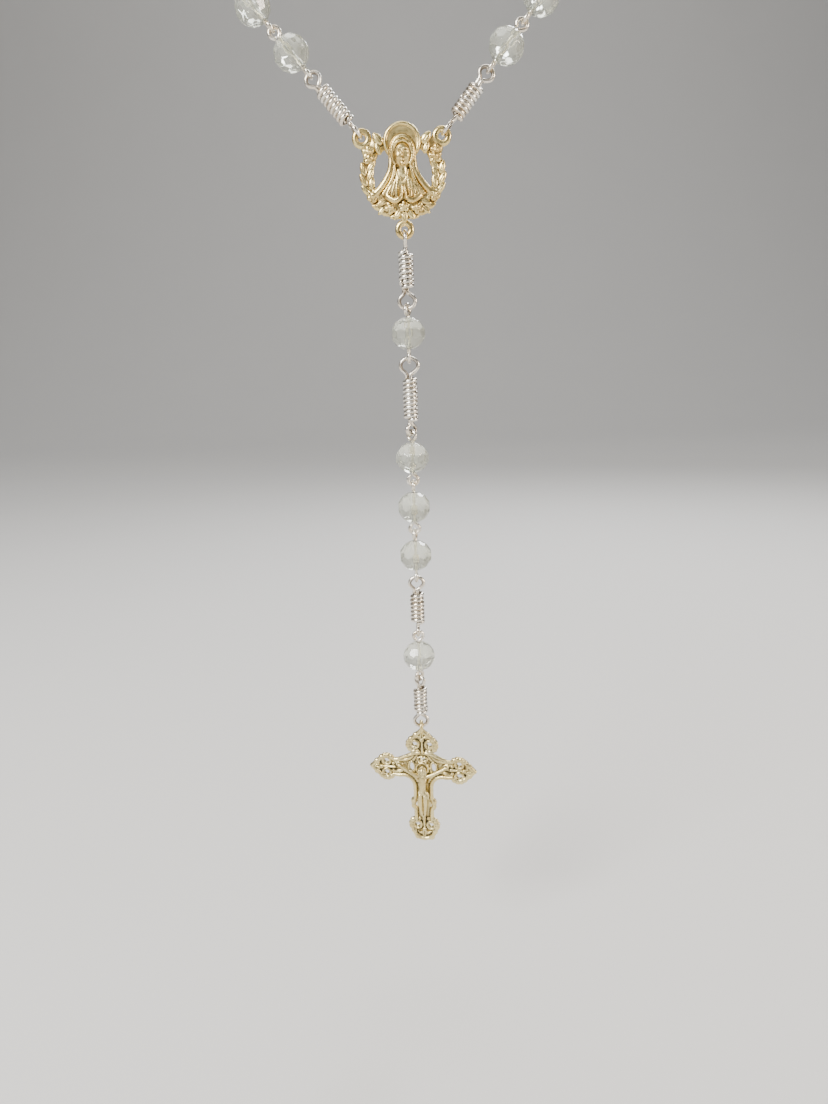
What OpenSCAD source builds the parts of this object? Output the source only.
// Five-decade rosary of faceted glass beads on wire links, hanging as it is worn:
// the two front strands and the pendant lie in the XZ plane and face -Y, and the rest
// of the loop goes over the shoulders and round the nape. The origin is at the nape.

/* [Beads] */
// Diameter of every bead
bead_d = 8; // [7:0.5:10]
// Length of a bead along its hole
bead_len = 7.4; // [6.5:0.1:9.5]
// Facets in one row round a bead
bead_facets = 8; // [6:1:10]

/* [Wire] */
// Diameter of the link wire
wire_d = 0.9; // [0.8:0.05:0.95]
// Mean radius of the eye at each end of a bead pin
pin_eye_r = 1.25; // [1.2:0.05:1.5]
// Plain wire between a bead and the eye of its pin
pin_neck = 0.5; // [0.45:0.05:1]
// Play where one eye bears on the next
eye_play = 0.05; // [0.04:0.01:0.1]
// Radial play between a pin and the hole of its bead
bore_play = 0.07; // [0.03:0.01:0.1]

/* [Coil links] */
// Diameter of the wire in a winding
coil_wire_d = 1.0; // [0.9:0.05:1.04]
// Distance from one turn to the next
coil_pitch = 1.05; // [1.05:0.01:1.15]
// Mean radius of a turn
coil_turn_r = 1.33; // [1.2:0.01:1.5]
// Length of a coil link in the strands, from bearing point to bearing point
strand_coil_len = 16.6; // [16.4:0.1:20]

/* [Medal] */
// Sideways distance of the medal's upper ears from its middle
ear_x = 9.2; // [9:0.1:9.6]
// Height of the medal's upper ears above its middle
ear_z = 8; // [7.6:0.1:8.4]
// Depth of the medal's lower ear below its middle
drop_ear_z = 12; // [11.8:0.1:12.2]
// Outer radius of an ear
ear_r = 2.25; // [2.2:0.05:2.3]
// Radius of the hole in an ear
ear_hole_r = 0.8; // [0.8:0.05:0.85]
// Outer radius of the wreath
wreath_r = 10.05; // [9.9:0.05:10.3]

/* [Crucifix] */
// Width from arm tip to arm tip
cross_w = 29; // [28:0.5:32]
// Height of the upper arm above the crossing
cross_up = 11.5; // [11:0.5:13]
// Depth of the lower arm below the crossing
cross_down = 22; // [21:0.5:25]
// Thickness of the cross without its figure
cross_t = 1.6; // [1.4:0.1:2]

/* [Hanging shape] */
// Lean of the front strands from the vertical
front_lean = 39.5; // [32:0.5:42]
// Radius of the bend over the shoulder
shoulder_r = 50; // [43:1:60]

/* [Hidden] */
silver = [0.78, 0.76, 0.71];
glass = [0.86, 0.89, 0.82, 0.6];
gold = [0.72, 0.6, 0.34];
pale_gold = [0.74, 0.69, 0.52];
$fn = 48;

wire_r = wire_d / 2;
shank_r = wire_r - 0.02; // a pin is drawn a touch thinner through its bead
overlap = wire_d + eye_play; // distance between the wires of two eyes that bear on each other
bore_r = shank_r + bore_play;
pin_len = bead_len + 2 * pin_neck + 4 * pin_eye_r; // wire middle to wire middle
bead_pitch = pin_len - overlap; // bearing point to bearing point
ear_wire_r = ear_hole_r - wire_r - eye_play; // where a wire bears in an ear, from its hole

// Links of one strand, counted from the medal: a coil, a decade, coil, bead, coil, a decade,
// coil, bead, coil, and half of the decade at the nape.
STRAND_LINKS = 32;
STRAND_COILS = [0, 11, 13, 24, 26];
STRAIGHT_LINKS = 4; // the links next to the medal that hang in one line
FIRST_UPRIGHT = 11;
FIRST_SHOULDER = 14;
FIRST_NAPE = 24;

function is_coil(i) = len([for (c = STRAND_COILS) if (c == i) c]) > 0;
function reach(i) = is_coil(i) ? strand_coil_len : bead_pitch;

// Attitude of each link: lean sideways, tilt back over the shoulder, turn round the nape.
bend_links = FIRST_UPRIGHT - STRAIGHT_LINKS + 1;
function lean(i) = i < STRAIGHT_LINKS ? front_lean
    : i < FIRST_UPRIGHT ? front_lean * (1 - (i - STRAIGHT_LINKS + 1) / bend_links) : 0;
shoulder_step = bead_pitch / shoulder_r * 180 / PI;
function tilt(i) = i < FIRST_SHOULDER ? 0 : min(90, (i - FIRST_SHOULDER + 0.5) * shoulder_step);
function way(i) = i < FIRST_NAPE ? 0 : way(i - 1) + reach(i);
nape_len = way(STRAND_LINKS - 1);
function yaw(i, power) = i < FIRST_NAPE ? 0 : 90 * pow((way(i) - reach(i) / 2) / nape_len, power);

function heading(lean, tilt, yaw) =
    let (x = cos(tilt) * sin(lean), y = sin(tilt))
    [x * cos(yaw) - y * sin(yaw), x * sin(yaw) + y * cos(yaw), cos(tilt) * cos(lean)];

// The nape's curl is found by halving, so that both strands meet exactly at the middle.
function nape_width(power) = add([for (i = [FIRST_NAPE : STRAND_LINKS - 1]) reach(i) * sin(yaw(i, power))]);
function add(v, i = 0) = i < len(v) ? v[i] + add(v, i + 1) : 0;
function halve(low, high, steps) = let (mid = (low + high) / 2)
    steps == 0 ? mid : nape_width(mid) > half_width ? halve(mid, high, steps - 1) : halve(low, mid, steps - 1);
start = [ear_x, 0, ear_z] + (ear_wire_r + overlap / 2) * heading(front_lean, 0, 0);
half_width = start.x + add([for (i = [0 : FIRST_UPRIGHT - 1]) reach(i) * sin(lean(i))]);
nape_power = halve(0.2, 3, 40);

// Bearing point above link i of the right-hand strand, from the medal's middle
function heading_of(i) = heading(lean(i), tilt(i), yaw(i, nape_power));
function bearing(i) = i < 0 ? start : bearing(i - 1) + reach(i) * heading_of(i);
function middle(i) = bearing(i) - reach(i) / 2 * heading_of(i);

medal_at = -bearing(STRAND_LINKS - 1); // puts the nape's middle at the origin

// Pendant links from the medal down: [turns, top eye radius, bottom eye radius, length], and
// the way each eye faces: 0 is open to the front, 90 is open to the side. No turns is a bead.
PENDANT = [
    [8, 1.75, 1.75, 16.6], [0], [10, 1.9, 1.3, 17.5], [0], [0], [0], [8, 1.6, 1.25, 14.6], [0],
    [7, 1.25, 1.6, 13]
];
PENDANT_EYES = [[90, 0], [75, 90], [0, 45], [-45, 0], [90, 0], [75, 90], [0, 90], [10, 50], [-40, 0]];
cross_turn = -12; // the crucifix hangs turned a little to one side
cross_ring_r = 1.35;
cross_ring_wire_r = 0.5;
pendant_top = medal_at.z - drop_ear_z - ear_wire_r - overlap / 2;
function drop(i) = PENDANT[i][0] == 0 ? bead_pitch : PENDANT[i][3];
function pendant_bearing(i) = i < 0 ? pendant_top : pendant_bearing(i - 1) - drop(i);
function pendant_middle(i) = pendant_bearing(i) + drop(i) / 2;
cross_ring_z = pendant_bearing(len(PENDANT) - 1) - overlap / 2
    + wire_r + cross_ring_wire_r + eye_play - cross_ring_r;

GROUPS = [[3, 4], [5, 6], [7, 8], [9, 10]]; // decade beads that swing two by two
NECK_LINKS = [FIRST_SHOULDER : STRAND_LINKS - 1];
SIDES = ["left", "right"];

function pendant_names(i) = PENDANT[i][0] > 0 ? [str("pendant_coil_", i + 1)]
    : [str("pendant_pin_", i + 1), str("pendant_bead_", i + 1)];
function strand_names(s) = concat(
    [str(s, "_coil_1")],
    [for (n = [1, 2]) each [str(s, "_pin_", n), str(s, "_bead_", n)]],
    [for (g = GROUPS) each [str(s, "_pins_", g[0], "_", g[1]), str(s, "_beads_", g[0], "_", g[1])]],
    [str(s, "_coil_2"), str(s, "_large_pin"), str(s, "_large_bead"), str(s, "_coil_3")]
);

// A closed ring of round wire, open along Y
module ring(r, wire_radius) {
    rotate([90, 0, 0]) rotate_extrude() translate([r, 0]) circle(r = wire_radius);
}

// An eye bent in the link wire, turned about the link's axis
module eye(r, turn) {
    rotate([0, 0, turn]) ring(r, wire_r);
}

// A bead's pin: a straight shank along Z with an eye at each end
module pin(bottom_turn, top_turn) {
    eye_z = pin_len / 2 - pin_eye_r;
    color(silver) union() {
        cylinder(r = shank_r, h = 2 * (eye_z - pin_eye_r), center = true);
        translate([0, 0, eye_z]) eye(pin_eye_r, top_turn);
        translate([0, 0, -eye_z]) eye(pin_eye_r, bottom_turn);
    }
}

// A faceted bead with its hole along Z. Its corners lie on five rings, every second ring
// turned by half a facet.
module bead() {
    n = bead_facets;
    levels = [-1, -0.64, 0, 0.64, 1]; // of half the bead's length
    cut = 0.925; // the flat ends cut the round shape here, of its own half length
    last = len(levels) - 1;
    corners = [
        for (j = [0 : last], k = [0 : n - 1])
            let (r = bead_d / 2 * sqrt(1 - pow(cut * levels[j], 2)), a = (k + (j % 2) / 2) * 360 / n)
            [r * cos(a), r * sin(a), levels[j] * bead_len / 2]
    ];
    function corner(j, k) = j * n + (k + n) % n;
    sides = [
        for (j = [0 : last - 1], k = [0 : n - 1]) each j % 2 == 0
            ? [[corner(j, k), corner(j + 1, k), corner(j, k + 1)],
               [corner(j, k + 1), corner(j + 1, k), corner(j + 1, k + 1)]]
            : [[corner(j, k), corner(j + 1, k), corner(j + 1, k + 1)],
               [corner(j, k), corner(j + 1, k + 1), corner(j, k + 1)]]
    ];
    ends = [[for (k = [0 : n - 1]) corner(0, k)], [for (k = [n - 1 : -1 : 0]) corner(last, k)]];
    color(glass) difference() {
        polyhedron(corners, concat(sides, ends));
        cylinder(r = bore_r, h = bead_len + 2, center = true);
    }
}

// A wound link: an eye at each end and close turns of wire round the shank between them
module coil_link(turns, top_r, bottom_r, length, bottom_turn, top_turn) {
    half = (length + overlap) / 2;
    top = half - 2 * top_r;
    bottom = 2 * bottom_r - half;
    wound = (turns - 1) * coil_pitch + coil_wire_d;
    wound_z = (top + bottom) / 2;
    color(silver) union() {
        translate([0, 0, bottom]) cylinder(r = shank_r, h = top - bottom);
        translate([0, 0, wound_z]) rotate_extrude() {
            translate([0, -(wound - 0.6) / 2]) square([coil_turn_r - 0.3, wound - 0.6]);
            for (t = [0 : turns - 1])
                translate([coil_turn_r, (t - (turns - 1) / 2) * coil_pitch]) circle(r = coil_wire_d / 2);
        }
        translate([0, 0, half - top_r]) eye(top_r, top_turn);
        translate([0, 0, bottom_r - half]) eye(bottom_r, bottom_turn);
    }
}

// Puts a piece on link i of the strand on one side
module on_strand(side, i) {
    mirror([side == "left" ? 1 : 0, 0, 0])
        translate(medal_at + middle(i)) rotate([-tilt(i), lean(i), yaw(i, nape_power)]) children();
}

module strand_pin(side, i) {
    meets_mirror_image = side == "left" && i == STRAND_LINKS - 1;
    on_strand(side, i) pin(90, meets_mirror_image ? 90 : 0);
}

module strand_bead(side, i) {
    on_strand(side, i) bead();
}

module strand_coil(side, i) {
    turns = i == 0 && side == "left" ? 9 : 8;
    on_strand(side, i) coil_link(turns, 1.5, 1.75, strand_coil_len, 90, 0);
}

module pendant_piece(i) {
    translate([0, medal_at.y, pendant_middle(i)]) children();
}

// An ear with rounded edges, open along Y
module ear() {
    edge_r = 0.6;
    rotate([90, 0, 0]) rotate_extrude() {
        translate([ear_hole_r + edge_r, -edge_r]) square([ear_r - ear_hole_r - 2 * edge_r, 2 * edge_r]);
        for (x = [ear_hole_r + edge_r, ear_r - edge_r]) translate([x, 0]) circle(r = edge_r);
    }
}

// A flat slab of the outline given in X and Z, between two depths
module slab(front, back) {
    translate([0, back, 0]) rotate([90, 0, 0]) linear_extrude(back - front) children();
}

module wreath() {
    boss_r = 1.6;
    ring_r = wreath_r - boss_r;
    leaves = 19;
    slab(-0.7, 0.7) difference() {
        circle(r = ring_r + 0.7);
        circle(r = ring_r - 0.9);
    }
    for (k = [0 : leaves - 1]) {
        a = 30 - k * 240 / (leaves - 1);
        translate([ring_r * cos(a), -0.1, ring_r * sin(a)]) sphere(r = boss_r);
    }
}

module praying_figure() {
    veil_w = 2.9;
    half = [[0, 6], [veil_w, 6], [veil_w, 1.2], [3.9, -0.6], [5.9, -3.2], [7.4, -4.8], [5, -8], [0, -8.6]];
    slab(-1.6, 0.6) union() {
        polygon(half);
        mirror([1, 0]) polygon(half);
    }
    translate([0, 0.6, 6]) rotate([90, 0, 0]) cylinder(r = veil_w - 0.05, h = 2.1);
    translate([0, -1.1, 4.4]) sphere(r = 2.2);
    translate([0, -1.5, -5]) cylinder(r1 = 1.3, r2 = 0.6, h = 4.4);
    translate([0, -1.1, -7.4]) sphere(r = 1.4);
}

module medal() {
    halo_r = 4.35;
    halo_z = 7.3;
    color(gold) translate(medal_at) union() {
        translate([0, 0.6, halo_z]) rotate([90, 0, 0]) cylinder(r = halo_r, h = 1.3);
        wreath();
        praying_figure();
        for (side = [-1, 1]) {
            translate([side * ear_x, 0, ear_z]) ear();
            translate([side * 5.9, 0, 6.8]) sphere(r = 1.7);
        }
        translate([0, 0, -drop_ear_z]) ear();
    }
}

// The three-lobed end of an arm that points along +Y in its outline, its tip at the origin
module arm_end(lobe_r, spread, length) {
    hole_r = 0.75;
    difference() {
        union() {
            polygon([[0, 0], [spread + 0.9, -3.3], [spread, -length], [-spread, -length], [-spread - 0.9, -3.3]]);
            for (side = [-1, 1]) translate([side * spread, -length + 1.6]) circle(r = lobe_r);
        }
        for (side = [-1, 1]) translate([side * 1.7, -length + 2.3]) circle(r = hole_r);
    }
}

module cross_outline() {
    shaft_w = 4.7;
    fillet = 3.3;
    ends = 6.6;
    lobe_r = 1.7;
    spread = 2.4;
    difference() {
        union() {
            translate([-shaft_w / 2, -cross_down + 4]) square([shaft_w, cross_up + cross_down - 9]);
            translate([-cross_w / 2 + 5, -shaft_w / 2]) square([cross_w - 10, shaft_w]);
            translate([-shaft_w / 2 - fillet, -shaft_w / 2 - fillet]) square(shaft_w + 2 * fillet);
            translate([0, cross_up]) arm_end(lobe_r, spread, ends);
            translate([0, -cross_down]) rotate(180) arm_end(lobe_r, spread, ends);
            for (side = [-1, 1]) {
                translate([side * cross_w / 2, 0]) rotate(-side * 90) arm_end(lobe_r, spread, ends);
                translate([side * 2.2, -cross_down / 2]) circle(r = 1.3);
            }
        }
        for (x = [-1, 1], z = [-1, 1])
            translate([x, z] * (shaft_w / 2 + fillet)) circle(r = fillet);
        for (a = [0, 90, 180]) rotate(a) translate([2.9, 0.2]) circle(r = 0.6);
    }
}

module corpus() {
    front = -cross_t / 2 - 0.3;
    translate([0, front, 0.4]) sphere(r = 1.2);
    translate([0, front, -7.4]) cylinder(r1 = 0.9, r2 = 1.25, h = 6.6);
    translate([0, front, -15]) cylinder(r1 = 0.5, r2 = 1, h = 7.8);
    for (side = [-1, 1])
        translate([0, front, -1.4]) rotate([0, side * 72, 0]) cylinder(r1 = 0.65, r2 = 0.45, h = 7.8);
}

module crucifix() {
    top_under_ring = 0.6;
    color(pale_gold) translate([0, medal_at.y, cross_ring_z]) union() {
        rotate([0, 0, 90]) ring(cross_ring_r, cross_ring_wire_r);
        rotate([0, 0, cross_turn]) translate([0, 0.2, -top_under_ring - cross_up]) {
            slab(-cross_t / 2, cross_t / 2) cross_outline();
            corpus();
        }
    }
}

medal();
crucifix();

for (i = [0 : len(PENDANT) - 1]) {
    p = PENDANT[i];
    eyes = PENDANT_EYES[i];
    names = pendant_names(i);
    if (p[0] > 0) {
        pendant_piece(i) coil_link(p[0], p[1], p[2], p[3], eyes[1], eyes[0]);
    } else {
        pendant_piece(i) pin(eyes[1], eyes[0]);
        pendant_piece(i) bead();
    }
}

for (side = SIDES) {
    strand_coil(side, 0);
    for (n = [1, 2]) {
        strand_pin(side, n);
        strand_bead(side, n);
    }
    for (g = GROUPS) {
        for (i = g) strand_pin(side, i);
        for (i = g) strand_bead(side, i);
    }
    strand_coil(side, 11);
    strand_pin(side, 12);
    strand_bead(side, 12);
    strand_coil(side, 13);
}

/* neck_pins */ for (side = SIDES, i = NECK_LINKS) if (!is_coil(i)) strand_pin(side, i);
/* neck_beads */ for (side = SIDES, i = NECK_LINKS) if (!is_coil(i)) strand_bead(side, i);
/* neck_coils */ for (side = SIDES, i = NECK_LINKS) if (is_coil(i)) strand_coil(side, i);
